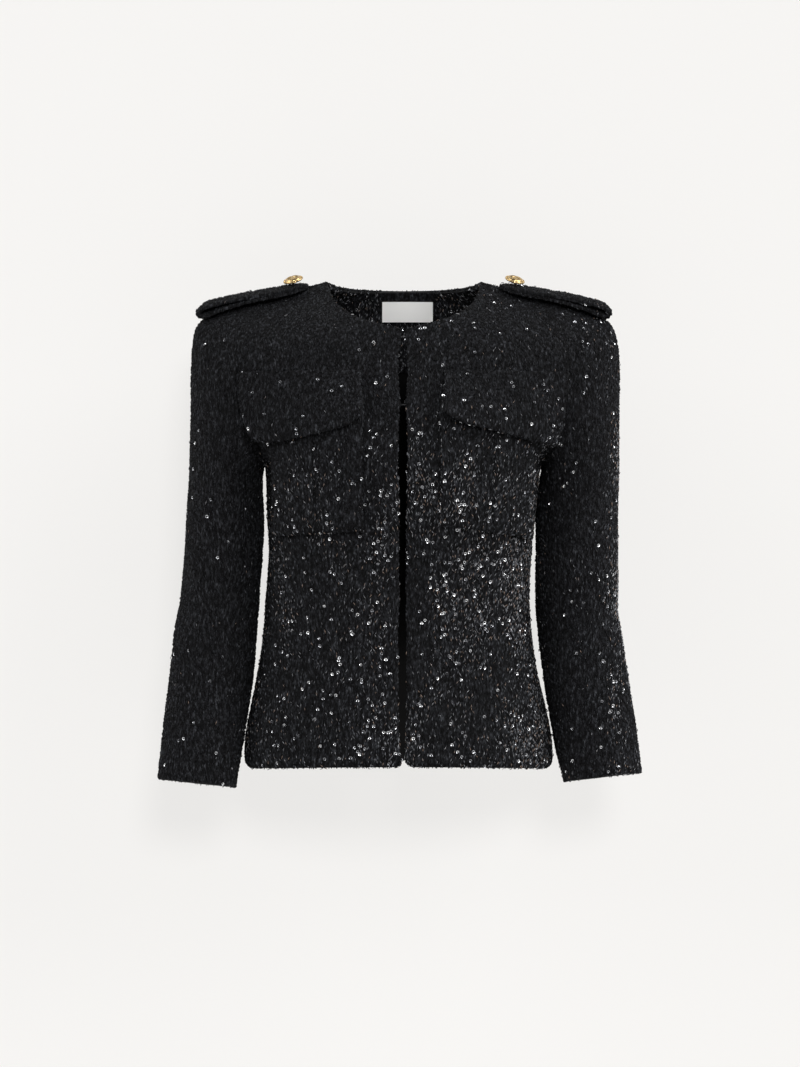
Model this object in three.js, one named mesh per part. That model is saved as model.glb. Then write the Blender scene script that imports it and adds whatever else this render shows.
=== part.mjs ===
// Collarless tweed jacket: fronts that meet edge to edge, two chest pockets under large flaps, and doubled
// shoulder straps with domed buttons. It is empty and filled out as it is worn.
// Millimetres, +Z up. The front faces -Y and +X is the wearer's left. The origin lies midway between the
// neck points, where the wearer's shoulders hold the jacket up.
import * as THREE from 'three';
import { mergeVertices } from 'three/addons/utils/BufferGeometryUtils.js';

// Cloth and seams
const clothThickness = 3;
const seamGap = 0.3;
const layGap = 0.8;

// Body: heights of its main levels, and the neck opening, an ellipse in plan
const hemHeight = -531;
const hemRise = { height: 6, top: -450 }; // how much higher the front hangs at its centre
const underarmHeight = -200;
const sideSeamY = 4;
const neckHalfWidth = 85;
const neckDepth = { front: 78, back: 62 };

// How finely the cloth is divided
const bodyRows = 10;
const yokeRows = 14;
const edgeRows = 9; // of the yoke rows, those that start below the neckline
const panelColumns = 14;
const backColumns = 12;
const capRows = 7;
const armRows = 10;
const underSleeveSteps = 4; // yoke rows each side of the underarm that the under sleeve covers
const edgeShare = edgeRows / yokeRows;

// Sections of the body from the hem up. lean moves both side seams along X. The square columns are the
// Bezier pulls that make a section boxy, 0.55 being an ellipse.
const bodySections = [
  { z: -531, halfWidth: 169, lean: -6, front: 112, back: 118, frontSquare: 0.6, backSquare: 0.6 },
  { z: -505, halfWidth: 169, lean: -6, front: 111, back: 114, frontSquare: 0.6, backSquare: 0.6 },
  { z: -468, halfWidth: 162.5, lean: -6.5, front: 109, back: 108, frontSquare: 0.61, backSquare: 0.6 },
  { z: -415, halfWidth: 150.5, lean: -7.5, front: 104, back: 96, frontSquare: 0.63, backSquare: 0.61 },
  { z: -350, halfWidth: 144.5, lean: -7.5, front: 101, back: 86, frontSquare: 0.67, backSquare: 0.63 },
  { z: -300, halfWidth: 143, lean: -4, front: 106, back: 89, frontSquare: 0.71, backSquare: 0.64 },
  { z: -250, halfWidth: 145, lean: -3, front: 116, back: 97, frontSquare: 0.72, backSquare: 0.64 },
  { z: -200, halfWidth: 151, lean: -1, front: 120, back: 104, frontSquare: 0.7, backSquare: 0.62 },
];

// Centre line of the body above the underarm, as depths from the middle
const frontCentre = [
  { z: -200, depth: 120 },
  { z: -170, depth: 114 },
  { z: -127, depth: 103 },
  { z: -95, depth: 93 },
  { z: -54, depth: 78 },
];
const backCentre = [
  { z: -200, depth: 104 },
  { z: -128, depth: 96 },
  { z: -60, depth: 79 },
  { z: -20, depth: 66.5 },
  { z: -4.4, depth: 62 },
];

// Armhole of the wearer's left, front and back, from the underarm, rise 0, to the shoulder seam, rise 1
const frontArmhole = [
  { rise: 0, x: 151, y: 4, z: -200 },
  { rise: 0.1, x: 152.5, y: -20, z: -197.5 },
  { rise: 0.215, x: 156.5, y: -45, z: -184 },
  { rise: 0.332, x: 162, y: -60, z: -160 },
  { rise: 0.46, x: 170, y: -66, z: -130 },
  { rise: 0.61, x: 181, y: -62, z: -95 },
  { rise: 0.775, x: 198, y: -44, z: -62 },
  { rise: 0.907, x: 211, y: -21, z: -42.5 },
  { rise: 1, x: 215, y: 0, z: -36 },
];
const backArmhole = [
  { rise: 0, x: 151, y: 4, z: -200 },
  { rise: 0.1, x: 152.5, y: 28, z: -197.5 },
  { rise: 0.205, x: 156.5, y: 51, z: -184 },
  { rise: 0.327, x: 161.5, y: 66, z: -158 },
  { rise: 0.457, x: 170, y: 72, z: -128 },
  { rise: 0.6, x: 181, y: 67, z: -95 },
  { rise: 0.77, x: 198, y: 47, z: -62 },
  { rise: 0.905, x: 210.5, y: 23, z: -42.5 },
  { rise: 1, x: 215, y: 0, z: -36 },
];

// Where each yoke row starts on the centre edge, as a height, up to the neckline's middle
const frontEdge = [
  { rise: 0, z: -200 },
  { rise: 3 / yokeRows, z: -176 },
  { rise: 5 / yokeRows, z: -137 },
  { rise: 7 / yokeRows, z: -88 },
  { rise: 8 / yokeRows, z: -63 },
  { rise: edgeShare, z: -54 },
];
const backEdge = [
  { rise: 0, z: -200 },
  { rise: 3 / yokeRows, z: -140 },
  { rise: 6 / yokeRows, z: -68 },
  { rise: edgeShare, z: -4.4 },
];

// Height of the neckline by its turn in plan, from the centre, 0, to the neck point, 90 degrees
const frontNeckline = [
  { turn: 0, z: -54 },
  { turn: 24, z: -46 },
  { turn: 53, z: -31 },
  { turn: 70, z: -18 },
  { turn: 90, z: 2 },
];
const backNeckline = [
  { turn: 0, z: -4.4 },
  { turn: 30, z: -4 },
  { turn: 60, z: -1.5 },
  { turn: 90, z: 2 },
];

// How the yoke rows leave the centre edge and reach the armhole. A pull is a share of the row's chord, turn
// is how far the row has swung round in plan, and a steep column multiplies the chord's slope.
const frontYoke = [
  { rise: 0, edgePull: 0.54, armPull: 0.44, turn: 90, edgeSteep: 1, armSteep: 1 },
  { rise: 0.25, edgePull: 0.5, armPull: 0.41, turn: 56, edgeSteep: 1, armSteep: 1 },
  { rise: 0.45, edgePull: 0.44, armPull: 0.37, turn: 36, edgeSteep: 1, armSteep: 1 },
  { rise: 0.64, edgePull: 0.36, armPull: 0.34, turn: 25, edgeSteep: 1, armSteep: 1.1 },
  { rise: 0.82, edgePull: 0.3, armPull: 0.3, turn: 12, edgeSteep: 1.1, armSteep: 1.4 },
  { rise: 1, edgePull: 0.24, armPull: 0.23, turn: 0, edgeSteep: 1.2, armSteep: 2.4 },
];
const backYoke = [
  { rise: 0, edgePull: 0.517, armPull: 0.342, turn: 90, edgeSteep: 1, armSteep: 1 },
  { rise: 0.25, edgePull: 0.47, armPull: 0.35, turn: 60, edgeSteep: 1, armSteep: 1 },
  { rise: 0.45, edgePull: 0.4, armPull: 0.36, turn: 40, edgeSteep: 1, armSteep: 1 },
  { rise: 0.64, edgePull: 0.34, armPull: 0.34, turn: 27, edgeSteep: 1, armSteep: 1.1 },
  { rise: 0.82, edgePull: 0.3, armPull: 0.3, turn: 13, edgeSteep: 1.1, armSteep: 1.4 },
  { rise: 1, edgePull: 0.24, armPull: 0.23, turn: 0, edgeSteep: 1.2, armSteep: 2.4 },
];

// Width of the gap between the fronts: it closes at the two hooks and near the hem
const frontGap = [
  { z: -531, width: 1.4 },
  { z: -500, width: 2.6 },
  { z: -470, width: 5 },
  { z: -400, width: 4 },
  { z: -325, width: 2.4 },
  { z: -260, width: 5 },
  { z: -200, width: 7 },
  { z: -160, width: 6.5 },
  { z: -137, width: 1.4 },
  { z: -113, width: 7 },
  { z: -88, width: 9 },
  { z: -63, width: 2.4 },
  { z: -54, width: 5 },
];
const hooks = [
  { name: 'upper', z: -63 },
  { name: 'lower', z: -137 },
];
const hookWire = { radius: 0.7, length: 8 };

// Sleeve sections from the bicep down, as distances from the middle. drop is how much lower the inner side
// of a section lies than its outer side, z.
const sleeveSections = {
  right: [
    { z: -239, outer: 237.6, inner: 156, drop: 0 },
    { z: -283, outer: 240, inner: 155, drop: 0 },
    { z: -327, outer: 244, inner: 158.4, drop: 0 },
    { z: -371, outer: 250.8, inner: 160.6, drop: 0 },
    { z: -415, outer: 255, inner: 164, drop: 1 },
    { z: -459, outer: 260.7, inner: 169.4, drop: 4 },
    { z: -503, outer: 266, inner: 178, drop: 7 },
    { z: -543, outer: 268, inner: 183.7, drop: 9 },
  ],
  left: [
    { z: -239, outer: 235.4, inner: 147.5, drop: 0 },
    { z: -283, outer: 234.9, inner: 146, drop: 0 },
    { z: -327, outer: 235, inner: 144.6, drop: 0 },
    { z: -362, outer: 235.6, inner: 144.8, drop: 0 },
    { z: -397, outer: 240.5, inner: 148.5, drop: 0 },
    { z: -450, outer: 248, inner: 156, drop: 3 },
    { z: -503, outer: 256.3, inner: 166, drop: 7 },
    { z: -536, outer: 259, inner: 174.4, drop: 10 },
  ],
};
// Depth of the sleeves. tilt is how much higher the front of a section lies than its middle.
const sleeveDepths = [
  { z: -239, middle: 4, half: 62, tilt: 0 },
  { z: -371, middle: 2, half: 53, tilt: 0 },
  { z: -459, middle: -10, half: 46, tilt: 2 },
  { z: -545, middle: -28, half: 41, tilt: 4 },
];

// How the sleeve leaves the armhole, by angle round it from the shoulder: its direction, and its pulls at
// the armhole and at the bicep
const sleeveHead = [
  { angle: 0, outward: 1, forward: 0, fall: 0.06, headPull: 29, bicepPull: 165 },
  { angle: 90, outward: 0.946, forward: 0.12, fall: 0.325, headPull: 20, bicepPull: 50 },
  { angle: 180, outward: 0.85, forward: 0, fall: 0.5, headPull: 4, bicepPull: 20 },
];

// Chest pockets and their flaps. Distances run along the cloth from the centre edge.
const pocket = { top: -128, puff: 2.4, pleatWidth: 4, pleatDepth: 1.9, columns: 12, rows: 8 };
const pockets = {
  right: { inner: 42, pleat: 93, outer: 157, innerBottom: -271.5, outerBottom: -277, cornerLift: 4 },
  left: { inner: 37, pleat: 93, outer: 159, innerBottom: -266, outerBottom: -280, cornerLift: 3 },
};
const flap = { top: -101, thickness: 3.5, lift: 6.5, columns: 12, rows: 5 };
const flaps = {
  right: { inner: 43, outerTop: 182, outerBottom: 169, overhang: 6, innerLift: 2 },
  left: { inner: 40, outerTop: 183, outerBottom: 171, overhang: 4, innerLift: 7 },
};
// Heights of the lower edges: a Bezier from the inner to the outer corner. Roundings cut the corners back.
const flapEdges = {
  right: { heights: [-158, -168, -180, -170], innerRounding: 9, outerRounding: 9 },
  left: { heights: [-154, -165, -173, -177], innerRounding: 8, outerRounding: 2 },
};

// Shoulder straps: a band that runs out along the shoulder, folds over and comes back on top. The route is
// its middle line, from the neck end of the lower layer to that of the upper one.
const strap = { halfWidth: 20, thickness: 3, endThickness: 1.6, tipLength: 20, columns: 6 };
// How far the strap's edges lie below its middle. Its back edge drops less near the neck.
const strapArch = { edge: 6.9, backNeck: 2.6, neckX: 106, fullX: 166 };
const strapRoute = [
  { x: 106, z: -2.5 },
  { x: 125, z: -5.8 },
  { x: 151, z: -10.7 },
  { x: 170, z: -14.8 },
  { x: 188, z: -20 },
  { x: 203, z: -24.8 },
  { x: 214, z: -29.8 },
  { x: 222, z: -32.6 },
  { x: 226.3, z: -29 },
  { x: 223.5, z: -24.2 },
  { x: 215, z: -20.4 },
  { x: 203, z: -17.2 },
  { x: 179, z: -12 },
  { x: 151, z: -7 },
  { x: 125, z: -2.5 },
  { x: 106, z: 0.1 },
];
const strapSteps = 26;

// Domed metal buttons on the straps
const button = { radius: 11.2, height: 5.2, rim: 1.6, shankRadius: 3, shankLength: 2.4, sides: 24 };
const buttonPlace = { x: 121, y: -3, z: 0.4, outward: 0.16, forward: 0.4 };

// Inside the neck
const facingThickness = 1.2;
const facingRows = 4; // rows below the back neckline
const facingColumns = 8;
const label = { middle: 4, halfWidth: 28, top: -20.5, bottom: -42.5, thickness: 0.5, columns: 6, rows: 2 };

// Colours
const tweedFinish = { color: 0x17181a, roughness: 0.92, metalness: 0 };
const strapFinish = { color: 0x1a1b1d, roughness: 0.9, metalness: 0 };
const goldFinish = { color: 0xc9a35c, roughness: 0.3, metalness: 1 };
const steelFinish = { color: 0x4a4a4c, roughness: 0.4, metalness: 1 };
const labelFinish = { color: 0xf1f0ec, roughness: 0.8, metalness: 0 };

const sides = { right: -1, left: 1 };
const point = (x, y, z) => new THREE.Vector3(x, y, z);
const mix = THREE.MathUtils.lerp;
const clamp = THREE.MathUtils.clamp;
const range = (count) => Array.from({ length: count + 1 }, (_, i) => i / count);

// A smooth curve through the values that never overshoots between two of them.
function smoothCurve(at, values) {
  const last = at.length - 1;
  const secant = (i) => (values[i + 1] - values[i]) / (at[i + 1] - at[i]);
  const slopes = values.map((_, i) => {
    if (i === 0) return secant(0);
    if (i === last) return secant(last - 1);
    const before = secant(i - 1);
    const after = secant(i);
    return before * after > 0 ? (2 * before * after) / (before + after) : 0;
  });
  return (value) => {
    const within = clamp(value, at[0], at[last]);
    const i = Math.max(0, at.findIndex((knot) => knot >= within) - 1);
    const width = at[i + 1] - at[i];
    const t = (within - at[i]) / width;
    const start = (1 + 2 * t) * (1 - t) ** 2;
    const end = t * t * (3 - 2 * t);
    const startSlope = t * (1 - t) ** 2 * width;
    const endSlope = -t * t * (1 - t) * width;
    return start * values[i] + end * values[i + 1] + startSlope * slopes[i] + endSlope * slopes[i + 1];
  };
}

// A table of rows read as smooth curves over one of its columns.
function smoothTable(rows, column) {
  const ordered = [...rows].sort((a, b) => a[column] - b[column]);
  const at = ordered.map((row) => row[column]);
  const names = Object.keys(rows[0]).filter((name) => name !== column);
  const curves = names.map((name) => smoothCurve(at, ordered.map((row) => row[name])));
  return (value) => Object.fromEntries(names.map((name, i) => [name, curves[i](value)]));
}

const bodyAt = smoothTable(bodySections, 'z');
const gapAt = smoothTable(frontGap, 'z');
const front = {
  name: 'front',
  facing: -1,
  centreAt: smoothTable(frontCentre, 'z'),
  armholeAt: smoothTable(frontArmhole, 'rise'),
  edgeAt: smoothTable(frontEdge, 'rise'),
  necklineAt: smoothTable(frontNeckline, 'turn'),
  yokeAt: smoothTable(frontYoke, 'rise'),
};
const back = {
  name: 'back',
  facing: 1,
  centreAt: smoothTable(backCentre, 'z'),
  armholeAt: smoothTable(backArmhole, 'rise'),
  edgeAt: smoothTable(backEdge, 'rise'),
  necklineAt: smoothTable(backNeckline, 'turn'),
  yokeAt: smoothTable(backYoke, 'rise'),
};

function armholePoint(panel, side, rise) {
  const { x, y, z } = panel.armholeAt(rise);
  const lean = bodyAt(underarmHeight).lean * (1 - rise);
  return point(side * x + lean, y, z);
}

// Start of a yoke row: on the centre edge up to edgeShare, then round the neckline to the neck point.
function edgePoint(panel, side, rise) {
  if (rise <= edgeShare) {
    const { z } = panel.edgeAt(rise);
    const opening = panel === front ? gapAt(z).width / 2 : 0;
    return point(side * opening, panel.facing * panel.centreAt(z).depth, z);
  }
  const share = (rise - edgeShare) / (1 - edgeShare);
  const turn = Math.PI / 2 * share;
  const start = panel === front ? gapAt(panel.edgeAt(edgeShare).z).width / 2 : 0;
  const x = start + (neckHalfWidth - start) * Math.sin(turn);
  const y = panel.facing * neckDepth[panel.name] * Math.cos(turn);
  return point(side * x, y, panel.necklineAt(90 * share).z);
}

// A level row below the underarm, from the centre to the side seam.
function bodyRow(panel, side, z) {
  const section = bodyAt(z);
  const depth = section[panel.name];
  const square = section[`${panel.name}Square`];
  const opening = panel === front ? gapAt(z).width / 2 : 0;
  const nearHem = clamp((hemRise.top - z) / (hemRise.top - hemHeight), 0, 1);
  const rise = panel === front ? hemRise.height * nearHem : 0;
  const start = point(side * opening, panel.facing * depth, z + rise);
  const end = point(side * section.halfWidth + section.lean, sideSeamY, z);
  const sideways = point(side * square * section.halfWidth, 0, 0);
  const toSeam = point(0, panel.facing * square * Math.abs(panel.facing * depth - sideSeamY), 0);
  return new THREE.CubicBezierCurve3(start, start.clone().add(sideways), end.clone().add(toSeam), end);
}

// A row of the yoke, from the centre edge or the neckline to the armhole.
function yokeRow(panel, side, rise) {
  const { edgePull, armPull, turn, edgeSteep, armSteep } = panel.yokeAt(rise);
  const start = edgePoint(panel, side, rise);
  const end = armholePoint(panel, side, rise);
  const chord = end.clone().sub(start);
  const slope = chord.z / Math.abs(chord.x);
  const belowNeck = Math.min(rise, edgeShare);
  const edgeBelow = edgePoint(panel, side, belowNeck - 0.02);
  const edgeHere = edgePoint(panel, side, belowNeck);
  const lie = (edgeHere.y - edgeBelow.y) / (edgeHere.z - edgeBelow.z);
  const across = point(side, rise > 0 ? slope * lie : 0, slope * edgeSteep);
  const straight = chord.clone().divideScalar(Math.abs(chord.x));
  straight.z *= edgeSteep;
  across.lerp(straight, clamp((rise - edgeShare) / (1 - edgeShare), 0, 1));
  const angle = THREE.MathUtils.degToRad(turn);
  const level = Math.cos(angle);
  const inward = point(-side * level, panel.facing * Math.sin(angle), -slope * armSteep * level);
  const length = chord.length();
  return new THREE.CubicBezierCurve3(
    start,
    start.clone().add(across.setLength(edgePull * length)),
    end.clone().add(inward.setLength(armPull * length)),
    end,
  );
}

// Rows of a panel by level: 0 at the hem, 1 at the underarm, 2 at the shoulder seam.
function panelRow(panel, side, level) {
  if (level > 1) return yokeRow(panel, side, level - 1);
  return bodyRow(panel, side, mix(hemHeight, underarmHeight, level));
}

function panelNormal(panel, side, u, level) {
  const step = 1e-3;
  const left = Math.max(u - step, 0);
  const below = Math.max(level - step, 0);
  const row = panelRow(panel, side, below + step);
  const along = row.getPoint(left + step).sub(row.getPoint(left));
  const up = row.getPoint(u).sub(panelRow(panel, side, below).getPoint(u));
  return along.cross(up).multiplyScalar(-side * panel.facing).normalize();
}

const sleeveAt = Object.fromEntries(
  Object.entries(sleeveSections).map(([name, rows]) => [sides[name], smoothTable(rows, 'z')]),
);
const sleeveEnds = Object.fromEntries(
  Object.entries(sleeveSections).map(([name, rows]) => [sides[name], [rows[0].z, rows[rows.length - 1].z]]),
);
const sleeveDepthAt = smoothTable(sleeveDepths, 'z');
const sleeveHeadAt = smoothTable(sleeveHead, 'angle');

// A point of a sleeve section. round runs from 0 at the top of the shoulder to 1 at the underarm.
function sleeveSection(panel, side, round, z) {
  const { outer, inner, drop } = sleeveAt[side](z);
  const { middle, half, tilt } = sleeveDepthAt(z);
  const angle = Math.PI * round;
  const x = (outer + inner) / 2 + (outer - inner) / 2 * Math.cos(angle);
  const y = panel.facing * Math.sin(angle);
  return point(side * x, middle + half * y, z - drop * (1 - Math.cos(angle)) / 2 - tilt * y);
}

// A line down the sleeve from the armhole to the cuff. along runs 0 to 1 over the sleeve head, then to 2.
function sleevePoint(panel, side, round, along) {
  const [bicep, cuff] = sleeveEnds[side];
  if (along > 1) return sleeveSection(panel, side, round, mix(bicep, cuff, along - 1));
  const head = sleeveHeadAt(180 * round);
  const start = armholePoint(panel, side, 1 - round);
  const end = sleeveSection(panel, side, round, bicep);
  const outward = point(side * head.outward, panel.facing * head.forward, -head.fall);
  const upward = end.clone().sub(sleeveSection(panel, side, round, bicep - 10));
  return new THREE.CubicBezierCurve3(
    start,
    start.clone().add(outward.setLength(head.headPull)),
    end.clone().add(upward.setLength(head.bicepPull)),
    end,
  ).getPoint(along);
}

function sleeveNormal(panel, side, round, along) {
  const step = 1e-3;
  const first = clamp(round - step / 2, 0, 1 - step);
  const above = Math.max(along - step, 0);
  const around = sleevePoint(panel, side, first + step, along).sub(sleevePoint(panel, side, first, along));
  const down = sleevePoint(panel, side, round, above + step).sub(sleevePoint(panel, side, round, above));
  return around.cross(down).multiplyScalar(-side * panel.facing).normalize();
}

// The seam round the armhole: where it lies, the way across it, and the mitre that both walls share.
function armholeSeam(panel, side, rise) {
  const here = armholePoint(panel, side, rise);
  const panelFaces = panelNormal(panel, side, 1, 1 + rise);
  const sleeveFaces = sleeveNormal(panel, side, 1 - rise, 0);
  const above = armholePoint(panel, side, Math.min(rise + 1e-3, 1));
  const along = above.sub(armholePoint(panel, side, Math.max(rise - 1e-3, 0)));
  if (rise === 0 || rise === 1) {
    panelFaces.y = 0;
    sleeveFaces.y = 0;
    along.set(0, 1, 0);
  }
  panelFaces.normalize();
  const middle = panelFaces.clone().add(sleeveFaces.normalize()).normalize();
  const across = along.cross(middle).normalize();
  if (across.x * side < 0) across.negate();
  return { here, across, mitre: middle.divideScalar(Math.max(middle.dot(panelFaces), 0.5)) };
}

// A grid of points moved along their offsets by a distance.
function movedGrid(grid, offsets, distance) {
  return grid.map((row, r) => row.map((p, c) => p.clone().addScaledVector(offsets[r][c], distance)));
}

// Outer points of a body panel with the offsets that mitre its seams.
function panelGrid(panel, side, columns) {
  const levels = [...range(bodyRows), ...range(yokeRows).slice(1).map((rise) => 1 + rise)];
  const outer = [];
  const offsets = [];
  for (const level of levels) {
    const row = panelRow(panel, side, level);
    const points = [];
    const normals = [];
    for (const u of range(columns)) {
      const p = row.getPoint(u);
      const normal = panelNormal(panel, side, u, level);
      const mitre = normal.clone();
      if (u === 0 && level <= 1 + edgeShare) mitre.x = 0;
      if (level === 2 || (u === 1 && level <= 1)) {
        mitre.y = 0;
        p.y += panel.facing * seamGap / 2;
      }
      mitre.normalize();
      mitre.divideScalar(mitre.dot(normal));
      if (u === 1 && level >= 1) {
        const seam = armholeSeam(panel, side, level - 1);
        mitre.copy(seam.mitre);
        p.addScaledVector(seam.across, -seamGap / 2);
      }
      points.push(p);
      normals.push(mitre);
    }
    outer.push(points);
    offsets.push(normals);
  }
  return { outer, offsets };
}

// Triangles of a wall between an outer and an inner grid of points. The rim joins their edges, apart from
// those that isSewn names, where another grid carries on.
function wallTriangles({ outer, inner }, flipped, isSewn = () => false) {
  const triangles = [];
  const quad = (a, b, c, d) => {
    if (flipped) triangles.push([a, c, b], [a, d, c]);
    else triangles.push([a, b, c], [a, c, d]);
  };
  const lastRow = outer.length - 1;
  const lastColumn = outer[0].length - 1;
  for (let r = 0; r < lastRow; r++) {
    for (let c = 0; c < lastColumn; c++) {
      quad(outer[r][c], outer[r][c + 1], outer[r + 1][c + 1], outer[r + 1][c]);
      quad(inner[r][c], inner[r + 1][c], inner[r + 1][c + 1], inner[r][c + 1]);
    }
    if (!isSewn('first', r)) quad(outer[r][0], outer[r + 1][0], inner[r + 1][0], inner[r][0]);
    if (!isSewn('last', r)) {
      quad(outer[r + 1][lastColumn], outer[r][lastColumn], inner[r][lastColumn], inner[r + 1][lastColumn]);
    }
  }
  for (let c = 0; c < lastColumn; c++) {
    quad(outer[0][c + 1], outer[0][c], inner[0][c], inner[0][c + 1]);
    quad(outer[lastRow][c], outer[lastRow][c + 1], inner[lastRow][c + 1], inner[lastRow][c]);
  }
  return triangles;
}

const jacket = new THREE.Group();

function addMesh(name, geometry, finish) {
  const mesh = new THREE.Mesh(geometry, new THREE.MeshStandardMaterial(finish));
  mesh.name = name;
  jacket.add(mesh);
  return mesh;
}

function addSolid(name, triangles, finish) {
  const geometry = new THREE.BufferGeometry().setFromPoints(triangles.flat());
  addMesh(name, mergeVertices(geometry, 1e-4), finish);
}

// Fronts
function makeFront(name, side) {
  const { outer, offsets } = panelGrid(front, side, panelColumns);
  const inner = movedGrid(outer, offsets, -clothThickness);
  addSolid(`front_${name}`, wallTriangles({ outer, inner }, side < 0), tweedFinish);
}

// The back: two halves sewn into one along the centre, below the neckline. The neck facing lies inside it.
const isBackCentre = (edge, row) => edge === 'first' && row < bodyRows + edgeRows;

function makeBack() {
  const triangles = [];
  const facing = [];
  const firstFacingRow = bodyRows + edgeRows - facingRows;
  const neckPart = (grid) => grid.slice(firstFacingRow).map((row) => row.slice(0, facingColumns + 1));
  for (const side of Object.values(sides)) {
    const { outer, offsets } = panelGrid(back, side, backColumns);
    const inner = movedGrid(outer, offsets, -clothThickness);
    triangles.push(...wallTriangles({ outer, inner }, side > 0, isBackCentre));
    const facingOuter = movedGrid(neckPart(inner), neckPart(offsets), -layGap);
    const facingInner = movedGrid(facingOuter, neckPart(offsets), -facingThickness);
    const isFacingCentre = (edge, row) => edge === 'first' && row < facingRows;
    facing.push(...wallTriangles({ outer: facingOuter, inner: facingInner }, side > 0, isFacingCentre));
  }
  addSolid('back', triangles, tweedFinish);
  addSolid('back_neck_facing', facing, tweedFinish);
}

// Sleeves: each tube is cut along its length into an upper and an under piece.
function sleeveGrid(side, steps) {
  const alongs = [...range(capRows), ...range(armRows).slice(1).map((share) => 1 + share)];
  const outer = [];
  const offsets = [];
  for (const along of alongs) {
    const points = [];
    const normals = [];
    for (const { panel, round } of steps) {
      const p = sleevePoint(panel, side, round, along);
      const normal = sleeveNormal(panel, side, round, along);
      if (along === 0) {
        const seam = armholeSeam(panel, side, 1 - round);
        normal.copy(seam.mitre);
        p.addScaledVector(seam.across, seamGap / 2);
      }
      points.push(p);
      normals.push(normal);
    }
    for (const [at, next] of [[0, 1], [steps.length - 1, steps.length - 2]]) {
      const inset = points[next].clone().sub(points[at]).setLength(seamGap / 2);
      points[at].add(inset);
    }
    outer.push(points);
    offsets.push(normals);
  }
  return { outer, offsets };
}

function makeSleeve(name, side) {
  const halfSteps = (panel) => range(yokeRows).map((round) => ({ panel, round }));
  const frontSteps = halfSteps(front);
  const backSteps = halfSteps(back);
  const turn = yokeRows - underSleeveSteps;
  const upper = [...frontSteps.slice(0, turn + 1).reverse(), ...backSteps.slice(1, turn + 1)];
  const under = [...frontSteps.slice(turn), ...backSteps.slice(turn, -1).reverse()];
  for (const [part, steps, flipped] of [['upper', upper, side > 0], ['under', under, side < 0]]) {
    const { outer, offsets } = sleeveGrid(side, steps);
    const inner = movedGrid(outer, offsets, -clothThickness);
    addSolid(`sleeve_${name}_${part}`, wallTriangles({ outer, inner }, flipped), tweedFinish);
  }
}

// A point on a front at a distance along the cloth from its centre edge and at a height, with the normal.
function onFront(side, distance, z) {
  const height = (level) => {
    const row = panelRow(front, side, level);
    return row.getPoint(row.getUtoTmapping(0, Math.min(distance, row.getLength()))).z;
  };
  let low = 0;
  let high = 1.8;
  for (let i = 0; i < 30; i++) {
    const level = (low + high) / 2;
    if (height(level) < z) low = level;
    else high = level;
  }
  const row = panelRow(front, side, low);
  const u = row.getUtoTmapping(0, Math.min(distance, row.getLength()));
  return { at: row.getPoint(u), normal: panelNormal(front, side, u, low) };
}

// Patch pockets with a pleat down the middle: a wall that lies on the front and puffs a little.
function makePocket(name, side) {
  const { inner, pleat, outer, innerBottom, outerBottom, cornerLift } = pockets[name];
  const half = pocket.pleatWidth / 2;
  const spread = (from, to, count) => range(count).map((share) => mix(from, to, share));
  const perSide = (pocket.columns - 2) / 2;
  const distances = [...spread(inner, pleat - half, perSide), pleat, ...spread(pleat + half, outer, perSide)];
  const walls = { outer: [], inner: [] };
  for (const down of range(pocket.rows)) {
    const outside = [];
    const inside = [];
    for (const distance of distances) {
      const across = (distance - inner) / (outer - inner);
      const z = mix(pocket.top, mix(innerBottom, outerBottom, across), down);
      const { at, normal } = onFront(side, distance, z);
      const puff = pocket.puff * Math.sin(Math.PI * across) * Math.sin(Math.PI * Math.min(down, 0.98));
      const lift = layGap + Math.max(puff, 0) + cornerLift * (across * down) ** 4;
      const groove = distance === pleat && down < 1 ? pocket.pleatDepth : 0;
      inside.push(at.clone().addScaledVector(normal, lift));
      outside.push(at.clone().addScaledVector(normal, lift + clothThickness - groove));
    }
    walls.outer.push(outside);
    walls.inner.push(inside);
  }
  addSolid(`pocket_${name}`, wallTriangles(walls, side > 0), tweedFinish);
}

// Flaps: sewn down along the top, they hang clear of the pockets and reach the armhole.
function makeFlap(name, side) {
  const { inner, outerTop, outerBottom, overhang, innerLift } = flaps[name];
  const { heights, innerRounding, outerRounding } = flapEdges[name];
  const lowerEdge = new THREE.CubicBezierCurve(...heights.map((z) => new THREE.Vector2(0, z)));
  const walls = { outer: [], inner: [] };
  for (const down of range(flap.rows)) {
    const outside = [];
    const inside = [];
    for (const share of range(flap.columns)) {
      const corner = (share === 0 ? innerRounding : 0) + (share === 1 ? outerRounding : 0);
      const bottom = lowerEdge.getPoint(share).y + corner;
      const distance = mix(inner, mix(outerTop, outerBottom, down), share);
      const { at, normal } = onFront(side, distance, mix(flap.top, bottom, down));
      const hang = 1 - (1 - down) ** 2;
      const lift = layGap + hang * (flap.lift + innerLift * (1 - share) ** 3);
      const over = overhang * down * Math.max(0, (share - 0.6) / 0.4) ** 2;
      at.addScaledVector(normal, lift);
      at.add(point(side * over, -0.7 * over, 0));
      inside.push(at);
      outside.push(at.clone().addScaledVector(normal, flap.thickness));
    }
    walls.outer.push(outside);
    walls.inner.push(inside);
  }
  addSolid(`flap_${name}`, wallTriangles(walls, side > 0), tweedFinish);
}

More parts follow.
